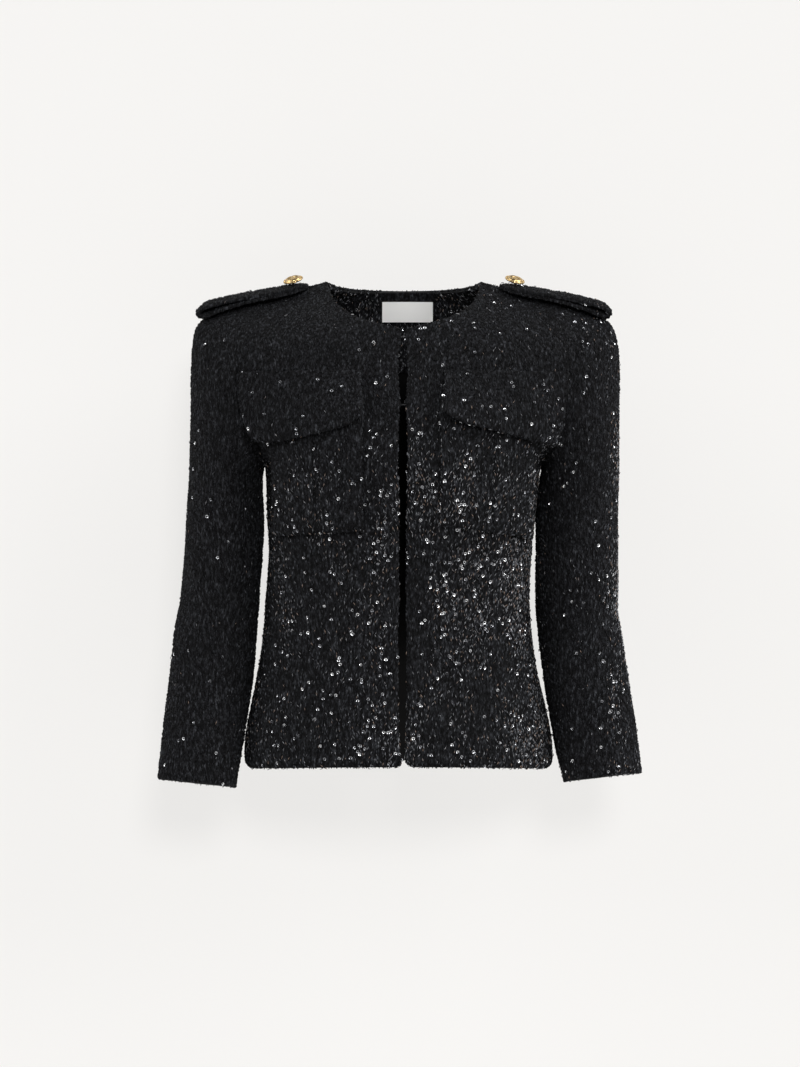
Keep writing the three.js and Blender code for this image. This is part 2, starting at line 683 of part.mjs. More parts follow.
// Shoulder straps
function makeStrap(name, side) {
  const knots = strapRoute.map(({ x, z }) => point(x, 0, z));
  const route = new THREE.CatmullRomCurve3(knots, false, 'centripetal');
  const walls = { outer: [], inner: [] };
  const length = route.getLength();
  for (const share of range(strapSteps)) {
    const middle = route.getPointAt(share);
    const tangent = route.getTangentAt(share);
    const toEnd = Math.min(share, 1 - share) * length;
    const tip = clamp(toEnd / strap.tipLength, 0, 1);
    const halfWidth = strap.halfWidth * mix(0.35, 1, Math.sqrt(1 - (1 - tip) ** 2));
    const thickness = mix(strap.endThickness, strap.thickness, tip);
    const outside = [];
    const inside = [];
    for (const across of range(strap.columns)) {
      const y = halfWidth * (2 * across - 1);
      const toFull = clamp((middle.x - strapArch.neckX) / (strapArch.fullX - strapArch.neckX), 0, 1);
      const drop = y > 0 ? mix(strapArch.backNeck, strapArch.edge, toFull) : strapArch.edge;
      const arch = drop * (y / strap.halfWidth) ** 2;
      const facing = point(tangent.z, 0, -tangent.x);
      const p = point(middle.x, y, middle.z - arch);
      outside.push(p.clone().addScaledVector(facing, thickness / 2));
      inside.push(p.clone().addScaledVector(facing, -thickness / 2));
    }
    walls.outer.push(outside);
    walls.inner.push(inside);
  }
  for (const grid of Object.values(walls)) {
    for (const p of grid.flat()) p.x *= side;
  }
  addSolid(`strap_${name}`, wallTriangles(walls, side < 0), strapFinish);
}

// Buttons: a domed disc with a raised rim on a short shank, leaning forward and outward on its strap.
function makeButton(name, side) {
  const { radius, height, rim, shankRadius, shankLength, sides: around } = button;
  const dome = range(5).map((share) => {
    const angle = share * Math.PI / 2;
    const up = shankLength + rim + (height - rim) * Math.sin(angle);
    return new THREE.Vector2((radius - rim) * Math.cos(angle), up);
  });
  const profile = [
    new THREE.Vector2(0, 0),
    new THREE.Vector2(shankRadius, 0),
    new THREE.Vector2(shankRadius, shankLength),
    new THREE.Vector2(radius - rim / 2, shankLength),
    new THREE.Vector2(radius, shankLength + rim / 2),
    new THREE.Vector2(radius - rim / 2, shankLength + rim * 1.4),
    ...dome,
  ];
  profile[profile.length - 1].x = 0;
  const mesh = addMesh(`strap_button_${name}`, new THREE.LatheGeometry(profile, around), goldFinish);
  mesh.position.set(side * buttonPlace.x, buttonPlace.y, buttonPlace.z);
  const axis = point(side * buttonPlace.outward, -buttonPlace.forward, 1).normalize();
  mesh.quaternion.setFromUnitVectors(point(0, 1, 0), axis);
}

// Neck label, sewn to the facing and blank.
function makeLabel() {
  const walls = { outer: [], inner: [] };
  const away = clothThickness + layGap + facingThickness + layGap;
  for (const down of range(label.rows)) {
    const outside = [];
    const inside = [];
    for (const across of range(label.columns)) {
      const x = label.middle + label.halfWidth * (2 * across - 1);
      const side = Math.sign(x);
      const z = mix(label.bottom, label.top, down);
      const { at, normal } = onBack(side, Math.abs(x), z);
      outside.push(at.clone().addScaledVector(normal, -away));
      inside.push(at.clone().addScaledVector(normal, -away - label.thickness));
    }
    walls.outer.push(outside);
    walls.inner.push(inside);
  }
  addSolid('neck_label', wallTriangles(walls, true), labelFinish);
}

// A point on the back under the neckline, by its distances out and up, with the normal.
function onBack(side, x, z) {
  let rise = 0.5;
  let u = 0.2;
  for (let i = 0; i < 12; i++) {
    const step = 1e-4;
    const row = yokeRow(back, side, rise);
    const here = row.getPoint(u);
    const alongU = row.getPoint(u + step).sub(here).divideScalar(step);
    const alongRise = yokeRow(back, side, rise + step).getPoint(u).sub(here).divideScalar(step);
    const missX = x - side * here.x;
    const missZ = z - here.z;
    const scale = side * alongU.x * alongRise.z - side * alongRise.x * alongU.z;
    u = clamp(u + (missX * alongRise.z - side * alongRise.x * missZ) / scale, 0, 0.9);
    rise = clamp(rise + (side * alongU.x * missZ - alongU.z * missX) / scale, 0.05, edgeShare);
  }
  return { at: yokeRow(back, side, rise).getPoint(u), normal: panelNormal(back, side, u, 1 + rise) };
}

// Hooks: a short wire behind the two front edges where they meet.
function makeHook({ name, z }) {
  const wire = new THREE.CapsuleGeometry(hookWire.radius, hookWire.length, 4, 8);
  const mesh = addMesh(`front_hook_${name}`, wire, steelFinish);
  mesh.rotation.z = Math.PI / 2;
  mesh.position.set(0, -front.centreAt(z).depth + clothThickness + seamGap + 2 * hookWire.radius, z);
}

for (const [name, side] of Object.entries(sides)) {
  makeFront(name, side);
  makeSleeve(name, side);
  makePocket(name, side);
  makeFlap(name, side);
  makeStrap(name, side);
  makeButton(name, side);
}
makeBack();
makeLabel();
hooks.forEach(makeHook);

export default jacket;
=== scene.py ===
import math

import bmesh
import bpy
import numpy as np
from mathutils import Matrix, Vector, noise


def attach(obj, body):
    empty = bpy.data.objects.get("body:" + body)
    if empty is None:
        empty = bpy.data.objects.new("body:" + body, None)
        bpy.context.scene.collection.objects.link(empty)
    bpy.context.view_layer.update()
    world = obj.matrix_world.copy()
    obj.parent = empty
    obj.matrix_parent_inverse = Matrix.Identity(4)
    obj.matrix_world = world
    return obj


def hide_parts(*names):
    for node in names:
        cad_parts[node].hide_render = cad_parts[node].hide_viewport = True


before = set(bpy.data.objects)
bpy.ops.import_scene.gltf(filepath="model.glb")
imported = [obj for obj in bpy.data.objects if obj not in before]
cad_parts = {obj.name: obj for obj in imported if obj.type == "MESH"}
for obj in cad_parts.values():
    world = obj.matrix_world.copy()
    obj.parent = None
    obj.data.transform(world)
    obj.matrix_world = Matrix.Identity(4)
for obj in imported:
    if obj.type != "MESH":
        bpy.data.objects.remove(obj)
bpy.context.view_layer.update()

# Sequinned tweed jacket: boucle cloth with yarns that stand proud, shoulder straps with domed buttons, satin lining
scene = bpy.context.scene


def inUse(sockets, name):
    return next(s for s in sockets if s.name == name and s.enabled)


def linear(code):
    parts = [int(code[i:i + 2], 16) / 255 for i in (1, 3, 5)]
    return tuple(p / 12.92 if p <= 0.04045 else ((p + 0.055) / 1.055) ** 2.4 for p in parts) + (1.0,)


def setInputs(tree, node, inputs):
    for name, value in inputs.items():
        socket = inUse(node.inputs, name) if isinstance(name, str) else node.inputs[name]
        if isinstance(value, bpy.types.NodeSocket):
            tree.links.new(value, socket)
        else:
            socket.default_value = value


def addNode(tree, kind, settings=None, inputs=None, stops=()):
    node = tree.nodes.new(kind)
    for name, value in (settings or {}).items():
        setattr(node, name, value)
    setInputs(tree, node, inputs or {})
    for index, (position, code) in enumerate(stops):
        elements = node.color_ramp.elements
        element = elements[index] if index < len(elements) else elements.new(1.0)
        element.position = position
        element.color = linear(code)
    return node


# Shade and relief come from one socket each. The shades run dark to light, and the other inputs are the shader's own.
def makeMaterial(tree, shade, stops, look, relief=None, strength=0.0, depth=0.0):
    shader = tree.nodes["Principled BSDF"]
    ramp = addNode(tree, "ShaderNodeValToRGB", inputs={"Fac": shade}, stops=stops)
    setInputs(tree, shader, {"Base Color": ramp.outputs["Color"], **look})
    if relief is not None:
        bump = addNode(tree, "ShaderNodeBump", inputs={"Height": relief, "Strength": strength, "Distance": depth})
        setInputs(tree, shader, {"Normal": bump.outputs["Normal"]})


def newMaterial(name):
    material = bpy.data.materials.new(name)
    material.use_nodes = True
    return material, material.node_tree


# Boucle tweed, woven: a dull, nearly black ground with short upright slubs about 2.5 by 7 mm
def makeTweed():
    material, tree = newMaterial("boucleTweed")
    place = addNode(tree, "ShaderNodeTexCoord").outputs["Object"]
    upright = addNode(tree, "ShaderNodeMapping", inputs={"Vector": place, "Scale": (1, 1, 0.36)}).outputs["Vector"]
    slubs = addNode(tree, "ShaderNodeTexNoise",
                    inputs={"Vector": upright, "Scale": 380.0, "Detail": 3.0, "Roughness": 0.6}).outputs["Fac"]
    fuzz = addNode(tree, "ShaderNodeTexNoise",
                   inputs={"Vector": place, "Scale": 1300.0, "Detail": 2.0}).outputs["Fac"]
    relief = addNode(tree, "ShaderNodeMath", {"operation": "MULTIPLY_ADD"}, {0: fuzz, 1: 0.35, 2: slubs}).outputs[0]
    stops = [(0.38, "#030304"), (0.5, "#0d0d0f"), (0.62, "#222326"), (0.74, "#414347")]
    makeMaterial(tree, slubs, stops, {"Roughness": 0.8, "Specular IOR Level": 0.1}, relief, 0.9, 0.0014)
    return material


# Slub yarn, spun from matt black and charcoal fibre: each slub has its own shade, and slubs are lighter where the
# glitter map is high, which on the outer half of the wearer's left sleeve is painted light
def makeSlubYarn():
    material, tree = newMaterial("slubYarn")
    shade = addNode(tree, "ShaderNodeAttribute", {"attribute_name": "yarnShade"}).outputs["Fac"]
    place = addNode(tree, "ShaderNodeTexCoord").outputs["Object"]
    fibres = addNode(tree, "ShaderNodeTexNoise",
                     inputs={"Vector": place, "Scale": 1500.0, "Detail": 2.0}).outputs["Fac"]
    stops = [(0.0, "#020203"), (0.26, "#08080a"), (0.5, "#16171a"), (0.68, "#292b2e"), (0.77, "#424449"),
             (1.0, "#8e9094")]
    makeMaterial(tree, shade, stops, {"Roughness": 0.65, "Specular IOR Level": 0.16}, fibres, 0.7, 0.0006)
    return material


# Sequins, punched from metallised film: grey and bright, each with its own shade
def makeSequinFilm():
    material, tree = newMaterial("sequinFilm")
    shade = addNode(tree, "ShaderNodeAttribute", {"attribute_name": "yarnShade"}).outputs["Fac"]
    stops = [(0.0, "#68696d"), (0.5, "#a2a3a7"), (1.0, "#dedfe1")]
    makeMaterial(tree, shade, stops, {"Metallic": 0.95, "Roughness": 0.24})
    return material


# Metallic yarn, a flat film thread: thin strands, silvery with some dull reddish gold
def makeMetallicYarn():
    material, tree = newMaterial("metallicYarn")
    shade = addNode(tree, "ShaderNodeAttribute", {"attribute_name": "yarnShade"}).outputs["Fac"]
    stops = [(0.0, "#67686c"), (0.6, "#a2a3a7"), (0.8, "#8c7b72"), (1.0, "#9b8678")]
    makeMaterial(tree, shade, stops, {"Metallic": 0.7, "Roughness": 0.4})
    return material


# Lining, satin woven from viscose: smooth, black, with a faint shine and very fine ribs
def makeLining():
    material, tree = newMaterial("satinLining")
    place = addNode(tree, "ShaderNodeTexCoord").outputs["Object"]
    ribs = addNode(tree, "ShaderNodeTexWave", {"bands_direction": "Z"},
                   {"Vector": place, "Scale": 260.0, "Distortion": 2.0, "Detail": 1.0}).outputs["Fac"]
    stops = [(0.0, "#040405"), (1.0, "#0a0a0b")]
    makeMaterial(tree, ribs, stops, {"Roughness": 0.42, "Specular IOR Level": 0.1}, ribs, 0.15, 0.0003)
    return material


# Pale gold plate on a cast button: bright, with faint casting grain and a little wear
def makeGold():
    material, tree = newMaterial("paleGoldPlate")
    place = addNode(tree, "ShaderNodeTexCoord").outputs["Object"]
    grain = addNode(tree, "ShaderNodeTexNoise",
                    inputs={"Vector": place, "Scale": 900.0, "Detail": 3.0}).outputs["Fac"]
    stops = [(0.3, "#957b4f"), (0.55, "#c4a979"), (0.8, "#eadcbd")]
    makeMaterial(tree, grain, stops, {"Metallic": 1.0, "Roughness": 0.24}, grain, 0.3, 0.0003)
    return material


# Label, woven in white polyester: faint ribs about 1 mm apart
def makeLabelCloth():
    material, tree = newMaterial("whiteWovenLabel")
    place = addNode(tree, "ShaderNodeTexCoord").outputs["Object"]
    ribs = addNode(tree, "ShaderNodeTexWave", {"bands_direction": "Z"},
                   {"Vector": place, "Scale": 320.0, "Distortion": 0.6, "Detail": 1.0}).outputs["Fac"]
    stops = [(0.0, "#efeeea"), (1.0, "#ffffff")]
    makeMaterial(tree, ribs, stops, {"Roughness": 0.6, "Sheen Weight": 0.2}, ribs, 0.4, 0.0002)
    return material


# Hook wire, enamelled steel: dark with small bright scratches
def makeHookWire():
    material, tree = newMaterial("enamelledHookWire")
    place = addNode(tree, "ShaderNodeTexCoord").outputs["Object"]
    scratches = addNode(tree, "ShaderNodeTexNoise",
                        inputs={"Vector": place, "Scale": 2200.0, "Detail": 2.0}).outputs["Fac"]
    stops = [(0.45, "#141416"), (0.62, "#4c4d51"), (0.7, "#a0a1a5")]
    makeMaterial(tree, scratches, stops, {"Metallic": 0.9, "Roughness": 0.25})
    return material


tweed = makeTweed()
slubYarn = makeSlubYarn()
sequinFilm = makeSequinFilm()
metallicYarn = makeMetallicYarn()
lining = makeLining()
print("materials made")


def newObject(name, data):
    piece = bpy.data.objects.new(name, data)
    scene.collection.objects.link(piece)
    return piece


def newMesh(name, points, faces):
    mesh = bpy.data.meshes.new(name)
    mesh.from_pydata([tuple(p) for p in points], [], faces)
    mesh.update()
    return mesh


def smooth(mesh):
    mesh.polygons.foreach_set("use_smooth", [True] * len(mesh.polygons))


def plainCopy(made, name):
    evaluated = made.evaluated_get(bpy.context.evaluated_depsgraph_get())
    mesh = bpy.data.meshes.new_from_object(evaluated)
    mesh.name = name
    return mesh


# Shapes that the cloth carries, one unit across half: a slub with a point at each end, and a cupped ring for a sequin
def slubShape():
    points = [(0, 1, -0.2), (0, -1, -0.2), (0.9, 0, -0.45), (-0.9, 0, -0.45), (0, 0, 1)]
    faces = [(0, 4, 2), (0, 3, 4), (0, 2, 3), (1, 2, 4), (1, 4, 3), (1, 3, 2)]
    mesh = newMesh("slubShape", points, faces)
    smooth(mesh)
    return newObject("slubShape", mesh)


def sequinShape(sides=8):
    ring = [(math.cos(2 * math.pi * i / sides), math.sin(2 * math.pi * i / sides)) for i in range(sides)]
    points = [(x, y, 0.16) for x, y in ring] + [(0.52 * x, 0.52 * y, -0.12) for x, y in ring]
    faces = [(i, (i + 1) % sides, sides + (i + 1) % sides, sides + i) for i in range(sides)]
    mesh = newMesh("sequinShape", points, faces)
    smooth(mesh)
    return newObject("sequinShape", mesh)


slub = slubShape()
sequin = sequinShape()

yarns = {
    "slubDensity": 105000.0,  # for each square metre
    "slubLength": 0.0024,  # half of it, in metres, as all lengths and widths here
    "slubWidth": 0.0008,
    "slubHeight": 0.001,
    "sequinDensity": 5200.0,
    "sequinRadius": 0.00175,
    "fleckDensity": 40000.0,
    "fleckLength": 0.0021,
    "fleckWidth": 0.0004,
}

# How each kind is laid: its seed, its range of sizes, how far it tilts and turns in radians, and its height
laid = {
    "slub": {"seed": 11, "sizes": (0.65, 1.3), "tilt": (0.15, 0.12, 0.3), "lift": 0.0002},
    "fleck": {"seed": 31, "sizes": (0.6, 1.4), "tilt": (0.2, 0.2, 0.7), "lift": 0.001},
    "sequin": {"seed": 51, "sizes": (0.9, 1.08), "tilt": (0.35, 0.35, 3.0), "lift": 0.0014},
}
# Slub shade rises with the glitter map: partly the cloth's own glitter, partly painted light on the outer half of the
# wearer's left sleeve
slubShade = {"plain": 0.69, "withGlitterAndPaintedLight": 0.2}
warpDirection = (0.0, 0.3, 1.0)  # it runs up the body and over the shoulders


def scatter(tree, surface, shape, material, density, shows, gain, scale, seed, sizes, tilt, lift):
    spots = addNode(tree, "GeometryNodeDistributePointsOnFaces", {"distribute_method": "RANDOM"},
                    {"Mesh": surface, "Selection": shows, "Density": density, "Seed": seed})
    normal = spots.outputs["Normal"]
    steep = addNode(tree, "ShaderNodeVectorMath", {"operation": "DOT_PRODUCT"}, {0: normal, 1: warpDirection})
    along = addNode(tree, "ShaderNodeVectorMath", {"operation": "SCALE"},
                    {0: normal, "Scale": steep.outputs["Value"]})
    warp = addNode(tree, "ShaderNodeVectorMath", {"operation": "SUBTRACT"},
                   {0: warpDirection, 1: along.outputs["Vector"]})
    upright = addNode(tree, "FunctionNodeAlignRotationToVector", {"axis": "Z"}, {"Vector": normal})
    turned = addNode(tree, "FunctionNodeAlignRotationToVector", {"axis": "Y", "pivot_axis": "Z"},
                     {"Rotation": upright.outputs["Rotation"], "Vector": warp.outputs["Vector"]})
    swing = addNode(tree, "FunctionNodeRandomValue", {"data_type": "FLOAT_VECTOR"},
                    {0: tuple(-t for t in tilt), 1: tilt, "Seed": seed + 1})
    swung = addNode(tree, "FunctionNodeEulerToRotation", inputs={"Euler": swing.outputs[0]})
    rotation = addNode(tree, "FunctionNodeRotateRotation", {"rotation_space": "LOCAL"},
                       {"Rotation": turned.outputs["Rotation"], "Rotate By": swung.outputs[0]})
    raised = addNode(tree, "ShaderNodeVectorMath", {"operation": "SCALE"}, {0: normal, "Scale": lift})
    moved = addNode(tree, "GeometryNodeSetPosition",
                    inputs={"Geometry": spots.outputs["Points"], "Offset": raised.outputs["Vector"]})
    size = addNode(tree, "FunctionNodeRandomValue", {"data_type": "FLOAT"},
                   {2: sizes[0], 3: sizes[1], "Seed": seed + 2})
    sized = addNode(tree, "ShaderNodeVectorMath", {"operation": "SCALE"}, {0: scale, "Scale": size.outputs[1]})
    info = addNode(tree, "GeometryNodeObjectInfo", inputs={"Object": shape})
    placed = addNode(tree, "GeometryNodeInstanceOnPoints", inputs={
        "Points": moved.outputs["Geometry"], "Instance": info.outputs["Geometry"],
        "Rotation": rotation.outputs["Rotation"], "Scale": sized.outputs["Vector"]})
    shade = addNode(tree, "FunctionNodeRandomValue", {"data_type": "FLOAT"}, {2: 0.0, 3: gain, "Seed": seed + 3})
    stored = addNode(tree, "GeometryNodeStoreNamedAttribute", {"data_type": "FLOAT", "domain": "INSTANCE"},
                     {"Geometry": placed.outputs["Instances"], "Name": "yarnShade", "Value": shade.outputs[1]})
    real = addNode(tree, "GeometryNodeRealizeInstances", inputs={"Geometry": stored.outputs["Geometry"]})
    return addNode(tree, "GeometryNodeSetMaterial",
                   inputs={"Geometry": real.outputs["Geometry"], "Material": material}).outputs["Geometry"]


# Yarns over the cloth: slubs, metallic strands and sequins scattered on the faces that show
def makeYarnTree():
    tree = bpy.data.node_groups.new("tweedYarns", "GeometryNodeTree")
    tree.interface.new_socket(name="Geometry", in_out="OUTPUT", socket_type="NodeSocketGeometry")
    tree.interface.new_socket(name="Geometry", in_out="INPUT", socket_type="NodeSocketGeometry")
    for name in yarns:
        tree.interface.new_socket(name=name, in_out="INPUT", socket_type="NodeSocketFloat")
    given = addNode(tree, "NodeGroupInput").outputs
    surface = given["Geometry"]
    shows = inUse(addNode(tree, "GeometryNodeInputNamedAttribute", {"data_type": "BOOLEAN"},
                          {"Name": "shows"}).outputs, "Attribute")
    glitter = inUse(addNode(tree, "GeometryNodeInputNamedAttribute", {"data_type": "FLOAT"},
                            {"Name": "glitter"}).outputs, "Attribute")
    # Slubs lighter where the glitter map is high: painted light on the outer half of the wearer's left sleeve
    slubGainWithPaintedLight = addNode(tree, "ShaderNodeMath", {"operation": "MULTIPLY_ADD"},
                       {0: glitter, 1: slubShade["withGlitterAndPaintedLight"], 2: slubShade["plain"]}).outputs[0]
    squared = addNode(tree, "ShaderNodeMath", {"operation": "MULTIPLY"}, {0: glitter, 1: glitter}).outputs[0]
    flecks = addNode(tree, "ShaderNodeMath", {"operation": "MULTIPLY"},
                     {0: given["fleckDensity"], 1: squared}).outputs[0]
    sequins = addNode(tree, "ShaderNodeMath", {"operation": "MULTIPLY"},
                      {0: given["sequinDensity"], 1: glitter}).outputs[0]
    joined = addNode(tree, "GeometryNodeJoinGeometry")
    for kind, shape, material, density, gain, widths in (
        ("slub", slub, slubYarn, given["slubDensity"], slubGainWithPaintedLight, ("slubWidth", "slubLength", "slubHeight")),
        ("fleck", slub, metallicYarn, flecks, 1.0, ("fleckWidth", "fleckLength", "fleckWidth")),
        ("sequin", sequin, sequinFilm, sequins, 1.0, ("sequinRadius", "sequinRadius", "sequinRadius")),
    ):
        scale = addNode(tree, "ShaderNodeCombineXYZ", inputs={i: given[w] for i, w in enumerate(widths)}).outputs[0]
        part = scatter(tree, surface, shape, material, density, shows, gain, scale, **laid[kind])
        tree.links.new(part, joined.inputs["Geometry"])
    addNode(tree, "NodeGroupOutput", inputs={"Geometry": joined.outputs["Geometry"]})
    return tree


yarnTree = makeYarnTree()


# A node tree's result as a plain mesh, with the values that go into its named inputs
def meshFromNodes(name, start, tree, values):
    carrier = newObject("carrier", start)
    modifier = carrier.modifiers.new("pieces", "NODES")
    modifier.node_group = tree
    for item in tree.interface.items_tree:
        if item.in_out == "INPUT" and item.name in values:
            modifier[item.identifier] = values[item.name]
    mesh = plainCopy(carrier, name)
    carrier.modifiers.remove(modifier)
    bpy.data.objects.remove(carrier)
    return mesh


def addYarns(name, cloth):
    made = newObject(name, meshFromNodes(name, cloth.data.copy(), yarnTree, yarns))
    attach(made, "root")
    return made


def between(value):
    return min(max(value, 0), 1)


# How much glitter a place carries: most low on the wearer's left, little on the chest and the right sleeve. The outer
# half of the wearer's left sleeve, the side that takes the stronger light, gets much more: that share is painted
# light, as it makes the slubs there lighter and the sequins and strands denser.
glitterAndPaintedLightShares = {
    "least": 0.08, "left": 0.2, "low": 0.48, "leftAndLow": 0.3, "sleeve": 0.3, "paintedLightOuterLeftSleeve": 0.9,
}


def glitterAndPaintedLightAt(p, node):
    if node == "back_neck_facing":
        return 1.0
    g = glitterAndPaintedLightShares
    left = 0.5 + 0.5 * math.tanh((p.x + 0.03) / 0.06)
    low = between((-0.12 - p.z) / 0.1)
    share = g["least"] + g["left"] * left + g["low"] * low + g["leftAndLow"] * left * low
    if node.startswith("sleeve"):
        # Painted light: the outer, lit half of the wearer's left sleeve gets a large extra share
        outer = between((abs(p.x) - 0.185 - 0.03 * low) / 0.02)
        share *= g["sleeve"] if p.x < 0 else g["sleeve"] + g["paintedLightOuterLeftSleeve"] * outer
    cluster = noise.noise(Vector((p.x * 26, p.y * 26, p.z * 11 + 3)))
    return share * min(max(0.85 + 0.9 * cluster, 0.3), 1.3)


# Middle line of what a piece wraps, so that its outer face can be told from its lining
def insideOf(p, node):
    if node.startswith("sleeve"):
        side = -1 if p.x < 0 else 1
        down = between((-0.2 - p.z) / 0.34)
        return Vector((side * (0.194 + 0.03 * down), 0.004 - 0.032 * down ** 2, min(p.z, -0.13)))
    return Vector((0.5 * p.x, 0, min(p.z, -0.14)))


# Soft hollows in the cloth: place, size along X, Y and Z, and depth in metres. A minus stands proud.
hollows = [
    ((-0.235, -0.03, -0.35), (0.03, 0.05, 0.012), 0.0022),
    ((-0.232, -0.03, -0.385), (0.03, 0.05, 0.012), -0.0016),
    ((-0.178, -0.04, -0.332), (0.03, 0.04, 0.010), 0.0026),
    ((-0.182, -0.04, -0.366), (0.03, 0.04, 0.011), 0.0022),
    ((0.222, -0.03, -0.36), (0.03, 0.05, 0.012), 0.0022),
    ((0.222, -0.03, -0.394), (0.03, 0.05, 0.012), -0.0016),
    ((0.166, -0.04, -0.345), (0.03, 0.04, 0.010), 0.0026),
    ((0.170, -0.04, -0.38), (0.03, 0.04, 0.011), 0.0022),
    ((-0.205, 0.05, -0.345), (0.04, 0.03, 0.011), 0.0022),
    ((0.198, 0.05, -0.352), (0.04, 0.03, 0.011), 0.0022),
    ((-0.10, 0.09, -0.36), (0.05, 0.05, 0.012), 0.002),
    ((0.09, 0.09, -0.352), (0.05, 0.05, 0.012), 0.002),
    ((-0.11, 0.09, -0.395), (0.05, 0.05, 0.014), 0.0016),
    ((0.10, 0.09, -0.385), (0.05, 0.05, 0.014), 0.0016),
    ((-0.150, 0.0, -0.258), (0.016, 0.06, 0.03), -0.0021),  # the sleeve rests close to the body here
    ((0.143, 0.0, -0.245), (0.016, 0.06, 0.03), -0.0021),
    ((-0.13, -0.06, -0.37), (0.03, 0.05, 0.012), 0.0016),
    ((0.125, -0.06, -0.365), (0.03, 0.05, 0.012), 0.0016),
]


# How far cloth moves off its solid, in metres
offsets = {
    "rightEdge": -0.0038, "leftEdge": 0.0008, "leftRoll": 0.003, "strapEnd": -0.003,
    "flapEdge": 0.0045, "pocket": 0.0026, "pleatX": 0.093, "pleatWidth": 0.0028,
    "rumple": 0.0009, "fineRumple": 0.0006, "calmShare": 0.15, "stiffShare": 0.5,
}


# The front edges stand a little apart below the neck, and the wearer's left one rolls back
def openFront(p, node):
    opening = between((-0.03 - p.z) / 0.05) * min(max((p.z + 0.535) / 0.04, 0.3), 1)
    opening *= 0.9 + 0.4 * noise.noise(Vector((0, 3, p.z * 22))) + 0.35 * between((-0.24 - p.z) / 0.08)
    nearEdge = math.exp(-(p.x / 0.02) ** 2)
    if node == "front_right":
        return Vector((offsets["rightEdge"] * opening * nearEdge, 0, 0))
    roll = math.exp(-(p.x / 0.006) ** 2)
    return Vector((offsets["leftEdge"] * opening * nearEdge, offsets["leftRoll"] * opening * roll, 0))


# The neck end of a strap comes down onto the shoulder
def taperStrap(p):
    return Vector((0, 0, offsets["strapEnd"] * between((0.116 - abs(p.x)) / 0.012) ** 2))


# The lower edge of a flap stands off the pocket, and so does the pocket below its flap, all but the pleat
def standOff(p, node):
    if node.startswith("flap"):
        return Vector((0, -offsets["flapEdge"] * between((-0.125 - p.z) / 0.04), 0))
    pleat = math.exp(-((abs(p.x) - offsets["pleatX"]) / offsets["pleatWidth"]) ** 2)
    return Vector((0, -offsets["pocket"] * between((-0.135 - p.z) / 0.03) * (1 - pleat), 0))


def rumple(p):
    calm = 1.0
    if abs(p.x) < 0.1 and p.y > 0:  # smoother behind the neck, so that the label lies flat
        calm = offsets["calmShare"] + (1 - offsets["calmShare"]) * between((-0.05 - p.z) / 0.05)
    fine = noise.noise(Vector((p.x * 55, p.y * 55, p.z * 22)))
    depth = calm * (offsets["rumple"] * noise.noise(p * 17) + offsets["fineRumple"] * fine)
    for place, size, amount in hollows:
        reach = sum(((p[i] - place[i]) / size[i]) ** 2 for i in range(3))
        if reach < 9:
            depth -= amount * math.exp(-reach)
    return depth


# The corner of a panel at the hem follows a circle: x of the edge, z of the hem and the radius
def roundCorner(p, edgeX, hemZ, radius):
    toEdge, toHem = abs(p.x - edgeX), p.z - hemZ
    if toEdge < radius and toHem < radius:
        lowest = hemZ + radius - math.sqrt(radius ** 2 - (radius - toEdge) ** 2)
        p.z = lowest + (radius + hemZ - lowest) * max(toHem, 0) / radius


# Angles in degrees, the distance in metres
remeshing = {"weld": 2e-6, "quadFace": 40, "quadShape": 50, "creaseFrom": 42, "levels": 2}
labelPlace = {"x": 0.004, "halfWidth": 0.031, "bottom": -0.04}


def clothPiece(node, linedInside, turnedIn, corners):
    made = newObject(f"tweed_{node}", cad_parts[node].data.copy())
    mesh = made.data
    shape = bmesh.new()
    shape.from_mesh(mesh)
    bmesh.ops.remove_doubles(shape, verts=shape.verts, dist=remeshing["weld"])
    bmesh.ops.join_triangles(shape, faces=shape.faces, angle_face_threshold=math.radians(remeshing["quadFace"]),
                             angle_shape_threshold=math.radians(remeshing["quadShape"]))
    crease = shape.edges.layers.float.get("crease_edge") or shape.edges.layers.float.new("crease_edge")
    for edge in shape.edges:
        if len(edge.link_faces) == 2 and edge.calc_face_angle(0) > math.radians(remeshing["creaseFrom"]):
            edge[crease] = 1.0
    shape.to_mesh(mesh)
    shape.free()
    subdivision = made.modifiers.new("round", "SUBSURF")
    subdivision.levels = subdivision.render_levels = remeshing["levels"]
    mesh = plainCopy(made, made.name)
    made.modifiers.remove(subdivision)
    made.data = mesh
    moved = []
    for vertex in mesh.vertices:
        p = vertex.co.copy()
        outward = (p - insideOf(p, node)).normalized()
        p += outward * rumple(p) * (1.0 if linedInside else offsets["stiffShare"])
        if node.startswith("front"):
            p += openFront(p, node)
        if node.startswith("strap"):
            p += taperStrap(p)
        if node.startswith(("flap", "pocket")):
            p += standOff(p, node)
        for corner in corners:
            roundCorner(p, *corner)
        moved.append(p)
    mesh.vertices.foreach_set("co", [c for p in moved for c in p])
    mesh.update()
    smooth(mesh)
    mesh.materials.clear()
    mesh.materials.append(tweed)
    mesh.materials.append(lining)
    # Glitter per point, with painted light on the outer half of the wearer's left sleeve
    glitter = mesh.attributes.new("glitter", "FLOAT", "POINT")
    glitter.data.foreach_set("value", [glitterAndPaintedLightAt(v.co, node) for v in mesh.vertices])
    sign = -1 if turnedIn else 1
    visible = []
    for face in mesh.polygons:
        x, y, z = face.center
        byLabel = abs(x - labelPlace["x"]) < labelPlace["halfWidth"] and z > labelPlace["bottom"]
        underLabel = node == "back_neck_facing" and byLabel
        facing = sign * face.normal.dot((face.center - insideOf(face.center, node)).normalized())
        isInner = facing < -0.2 and linedInside
        visible.append(not isInner and not underLabel)
        face.material_index = 1 if isInner else 0
    shows = mesh.attributes.new("shows", "BOOLEAN", "FACE")
    shows.data.foreach_set("value", visible)
    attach(made, "root")
    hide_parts(node)
    return made


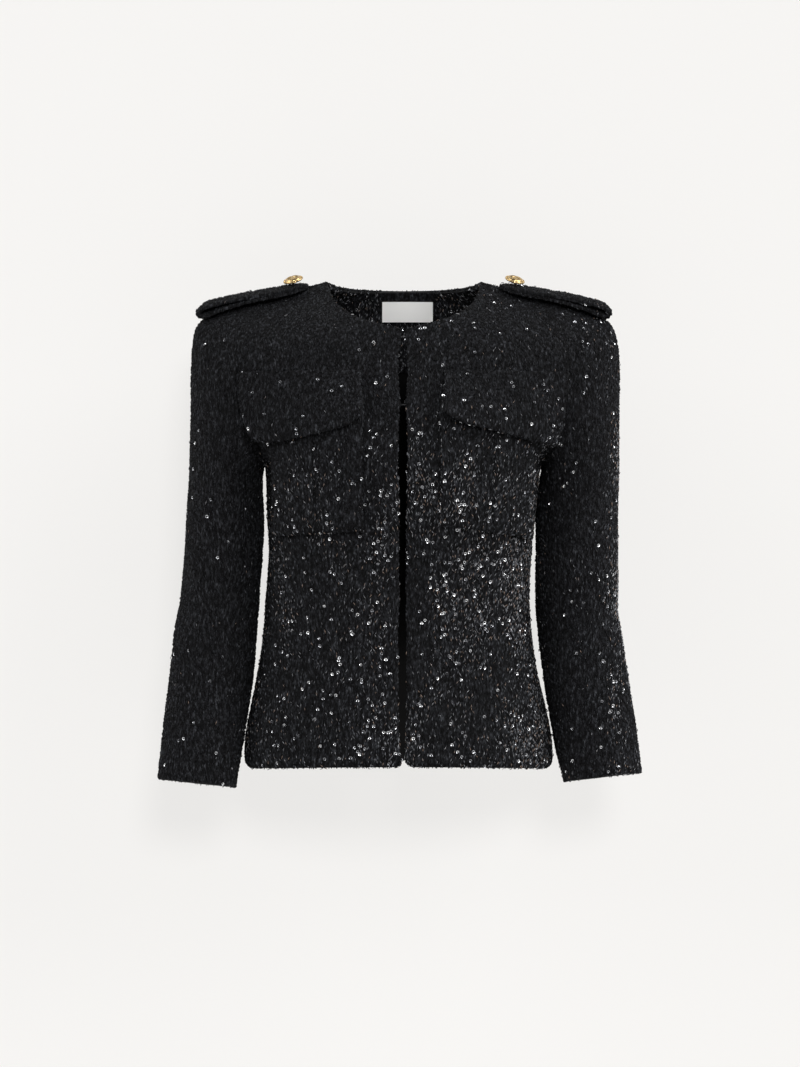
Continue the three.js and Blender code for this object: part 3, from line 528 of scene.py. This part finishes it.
# Each piece of cloth: its cut size in metres, what it hangs from, its rounded corners, and whether it faces inward
clothPieces = {
    "front_right": {"flat": (0.25, 0.55), "hangs": ["back"],
                    "corners": [(-0.0007, -0.525, 0.009), (-0.175, -0.531, 0.011)]},
    "front_left": {"flat": (0.25, 0.55), "hangs": ["back"],
                   "corners": [(0.0007, -0.525, 0.009), (0.163, -0.531, 0.011)]},
    "back": {"flat": (0.52, 0.56), "hangs": ["front_right", "front_left"],
             "corners": [(-0.175, -0.531, 0.011), (0.163, -0.531, 0.011)]},
    "back_neck_facing": {"flat": (0.34, 0.13), "hangs": ["back"], "turnedIn": True},
    "sleeve_right_upper": {"flat": (0.24, 0.53), "hangs": ["front_right", "back"]},
    "sleeve_right_under": {"flat": (0.11, 0.40), "hangs": ["sleeve_right_upper"]},
    "sleeve_left_upper": {"flat": (0.24, 0.53), "hangs": ["front_left", "back"]},
    "sleeve_left_under": {"flat": (0.11, 0.40), "hangs": ["sleeve_left_upper"]},
    "pocket_right": {"flat": (0.12, 0.15), "hangs": ["front_right"]},
    "pocket_left": {"flat": (0.12, 0.15), "hangs": ["front_left"]},
    "flap_right": {"flat": (0.145, 0.08), "hangs": ["front_right"]},
    "flap_left": {"flat": (0.145, 0.08), "hangs": ["front_left"]},
    "strap_right": {"flat": (0.04, 0.25), "hangs": ["front_right"], "held": "folded"},
    "strap_left": {"flat": (0.04, 0.25), "hangs": ["front_left"], "held": "folded"},
}

made = {}
for node, cut in clothPieces.items():
    linedInside = not node.startswith(("pocket", "flap", "strap"))
    made[node] = clothPiece(node, linedInside, cut.get("turnedIn", False), cut.get("corners", ()))
for node, cut in clothPieces.items():
    proud = addYarns(f"yarns_{node}", made[node])
    faces = made[node].data.polygons
    print("cloth", node, "area", round(sum(f.area for f in faces) / 2, 4), "faces", len(faces),
          "yarn faces", len(proud.data.polygons))
for helper in (slub, sequin):
    bpy.data.objects.remove(helper)
print("cloth made")


# Label: blank, woven, and moved forward and up the facing
labelShift = (0, -0.0027, 0.0055)


def makeLabel():
    label = newObject("blankNeckLabel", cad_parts["neck_label"].data.copy())
    shape = bmesh.new()
    shape.from_mesh(label.data)
    bmesh.ops.remove_doubles(shape, verts=shape.verts, dist=remeshing["weld"])
    bmesh.ops.translate(shape, verts=shape.verts, vec=labelShift)
    shape.to_mesh(label.data)
    shape.free()
    label.data.materials.clear()
    label.data.materials.append(makeLabelCloth())
    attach(label, "root")
    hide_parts("neck_label")


# Buttons: a fluted dome in a beaded rim, on a shank that leans forward and outward
buttonShape = {
    "x": 0.121, "y": -0.003, "z": 0.0004, "outward": 0.26, "forward": 0.36,
    "radius": 0.0112, "height": 0.0052, "rimHeight": 0.0016, "shankRadius": 0.003, "shankLength": 0.0024,
    "domeShare": 0.8, "domeSeat": 0.0002, "domeStart": 0.05, "domeRings": 10, "sides": 96,
    "flutes": 16, "fluteDepth": 0.00028,
    "beads": 34, "beadRadius": 0.0006, "beadShare": 0.885, "beadLift": 0.0005,
    # the rim from its underside to the dome: share of the radius, and height from the top of the rim
    "rim": [(0.93, -0.0016), (1.0, -0.0008), (0.97, 0.0004), (0.9, 0.0005), (0.84, 0.0001)],
}


def makeBeadTree(material):
    tree = bpy.data.node_groups.new("buttonBeads", "GeometryNodeTree")
    tree.interface.new_socket(name="Geometry", in_out="OUTPUT", socket_type="NodeSocketGeometry")
    for name, kind in (("Geometry", "Geometry"), ("beads", "Int"), ("ringRadius", "Float"), ("beadRadius", "Float")):
        tree.interface.new_socket(name=name, in_out="INPUT", socket_type=f"NodeSocket{kind}")
    given = addNode(tree, "NodeGroupInput").outputs
    ring = addNode(tree, "GeometryNodeMeshCircle", inputs={"Vertices": given["beads"], "Radius": given["ringRadius"]})
    bead = addNode(tree, "GeometryNodeMeshIcoSphere", inputs={"Radius": given["beadRadius"], "Subdivisions": 2})
    placed = addNode(tree, "GeometryNodeInstanceOnPoints",
                     inputs={"Points": ring.outputs["Mesh"], "Instance": bead.outputs["Mesh"]})
    real = addNode(tree, "GeometryNodeRealizeInstances", inputs={"Geometry": placed.outputs["Instances"]})
    finished = addNode(tree, "GeometryNodeSetMaterial",
                       inputs={"Geometry": real.outputs["Geometry"], "Material": material})
    addNode(tree, "NodeGroupOutput", inputs={"Geometry": finished.outputs["Geometry"]})
    return tree


def makeButton(name, side, gold, beadTree):
    b = buttonShape
    top = b["shankLength"] + b["rimHeight"]
    domeRadius = b["radius"] * b["domeShare"]
    rise = b["height"] - b["rimHeight"] - b["domeSeat"]
    profile = [(b["shankRadius"], 0.0), (b["shankRadius"], b["shankLength"])]
    profile += [(b["radius"] * share, top + height) for share, height in b["rim"]]
    profile += [(domeRadius * math.cos(t), top + b["domeSeat"] + rise * math.sin(t))
                for t in np.linspace(b["domeStart"], math.pi / 2, b["domeRings"])]
    tip = profile.pop()
    around, rings = b["sides"], len(profile)
    points, faces = [], []
    for r, h in profile:
        isDome = h > top and r < domeRadius
        for i in range(around):
            angle = 2 * math.pi * i / around
            window = math.sin(math.pi * min(r / domeRadius, 1)) if isDome else 0
            wave = b["fluteDepth"] * window * math.cos(b["flutes"] * angle)
            points.append((r * math.cos(angle), r * math.sin(angle), h + wave))
    points += [(0, 0, 0), (0, 0, tip[1])]
    last = (rings - 1) * around
    for i in range(around):
        j = (i + 1) % around
        faces += [(k + i, k + j, k + around + j, k + around + i) for k in range(0, last, around)]
        faces += [(rings * around, j, i), (rings * around + 1, last + i, last + j)]
    lean = Vector((0, 0, 1)).rotation_difference(Vector((side * b["outward"], -b["forward"], 1)).normalized())
    place = Matrix.Translation((side * b["x"], b["y"], b["z"])) @ lean.to_matrix().to_4x4()
    mesh = newMesh(f"goldButton_{name}", points, faces)
    mesh.materials.append(gold)
    mesh.transform(place)
    button = newObject(f"goldButton_{name}", mesh)
    values = {"beads": b["beads"], "ringRadius": b["radius"] * b["beadShare"], "beadRadius": b["beadRadius"]}
    beadMesh = meshFromNodes(f"buttonBeads_{name}", newMesh("carrier", [(0, 0, 0)], []), beadTree, values)
    beadMesh.transform(place @ Matrix.Translation((0, 0, top + b["beadLift"])))
    beads = newObject(f"buttonBeads_{name}", beadMesh)
    for piece in (button, beads):
        smooth(piece.data)
        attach(piece, "root")
    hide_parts(f"strap_button_{name}")


makeLabel()
gold = makeGold()
beadTree = makeBeadTree(gold)
makeButton("right", -1, gold, beadTree)
makeButton("left", 1, gold, beadTree)
hookWire = makeHookWire()
for node in ("front_hook_upper", "front_hook_lower"):
    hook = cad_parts[node]
    if not hook.material_slots:
        hook.data.materials.append(hookWire)
    for materialSlot in hook.material_slots:
        materialSlot.material = hookWire
print("label, buttons and hooks made")


# Studio: a pale floor far below, a pale backdrop close behind that is clear from its back, and three soft lights
studio = {
    "backdropY": 0.165, "backdropHalf": 3.0, "backdropTop": 3.0, "floorZ": -1.15, "floorHalf": 6.0,
    "glow": 0.76,  # how much of the paper's brightness stays in the shade
    "world": 0.16,
    # each light's strength, direction and spread in degrees
    "lights": {
        "leftSoftbox": (1.6, (1.0, 0.4, -0.7), 40),
        "rightSoftbox": (2.4, (-1.0, 0.42, -0.8), 40),
        "frontSoftbox": (1.5, (-0.14, 1.0, -0.36), 13),
    },
}


def makeSky():
    world = bpy.data.worlds.new("paleStudio")
    scene.world = world
    world.use_nodes = True
    sky = world.node_tree
    pale = sky.nodes["Background"]
    setInputs(sky, pale, {"Color": linear("#ffffff"), "Strength": studio["world"]})
    seen = addNode(sky, "ShaderNodeBackground", inputs={"Color": linear("#f6f5f3"), "Strength": 1.0})
    isSeen = addNode(sky, "ShaderNodeLightPath").outputs["Is Camera Ray"]
    both = addNode(sky, "ShaderNodeMixShader", inputs={0: isSeen, 1: pale.outputs[0], 2: seen.outputs[0]})
    setInputs(sky, sky.nodes["World Output"], {"Surface": both.outputs[0]})


def makeLights():
    for name, (strength, direction, spread) in studio["lights"].items():
        light = bpy.data.lights.new(name, "SUN")
        light.energy = strength
        light.angle = math.radians(spread)
        lamp = newObject(name, light)
        lamp.rotation_euler = Vector(direction).to_track_quat("-Z", "Y").to_euler()


# Paper, matt: grey where light falls on it, with a glow of its own, and clear from its back
def makePaper():
    paper, tree = newMaterial("paleStudioPaper")
    shader = tree.nodes["Principled BSDF"]
    setInputs(tree, shader, {
        "Base Color": linear("#757473"), "Roughness": 1.0, "Specular IOR Level": 0.0,
        "Emission Color": linear("#f6f5f3"), "Emission Strength": studio["glow"]})
    clear = addNode(tree, "ShaderNodeBsdfTransparent")
    isBack = addNode(tree, "ShaderNodeNewGeometry").outputs["Backfacing"]
    mixed = addNode(tree, "ShaderNodeMixShader", inputs={0: isBack, 1: shader.outputs[0], 2: clear.outputs[0]})
    setInputs(tree, tree.nodes["Material Output"], {"Surface": mixed.outputs[0]})
    return paper


def makeStudio():
    makeSky()
    makeLights()
    paper = makePaper()
    half, y, z, top = studio["backdropHalf"], studio["backdropY"], studio["floorZ"], studio["backdropTop"]
    wide = studio["floorHalf"]
    sheets = {
        "studioBackdrop": [(-half, y, z), (half, y, z), (half, y, top), (-half, y, top)],
        "studioFloor": [(-wide, -wide, z), (wide, -wide, z), (wide, wide, z), (-wide, wide, z)],
    }
    pieces = [newObject(name, newMesh(name, points, [(0, 1, 2, 3)])) for name, points in sheets.items()]
    for piece in pieces:
        piece.data.materials.append(paper)


makeStudio()

# Camera: level, 4 m in front of the shoulders' plane, with 1.1 mm to a pixel there
cameraPlace = {"x": -0.0044, "distance": 4.0, "z": -0.275, "frameHeight": 1.1737, "sensor": 36.0}
cameraData = bpy.data.cameras.new("photoCamera")
cameraData.sensor_fit = "VERTICAL"
cameraData.sensor_height = cameraPlace["sensor"]
cameraData.lens = cameraPlace["sensor"] * cameraPlace["distance"] / cameraPlace["frameHeight"]
cameraData.clip_end = 50
camera = newObject("photoCamera", cameraData)
camera.location = (cameraPlace["x"], -cameraPlace["distance"], cameraPlace["z"])
camera.rotation_euler = (math.pi / 2, 0, 0)
scene.camera = camera
scene.view_settings.view_transform = "Standard"
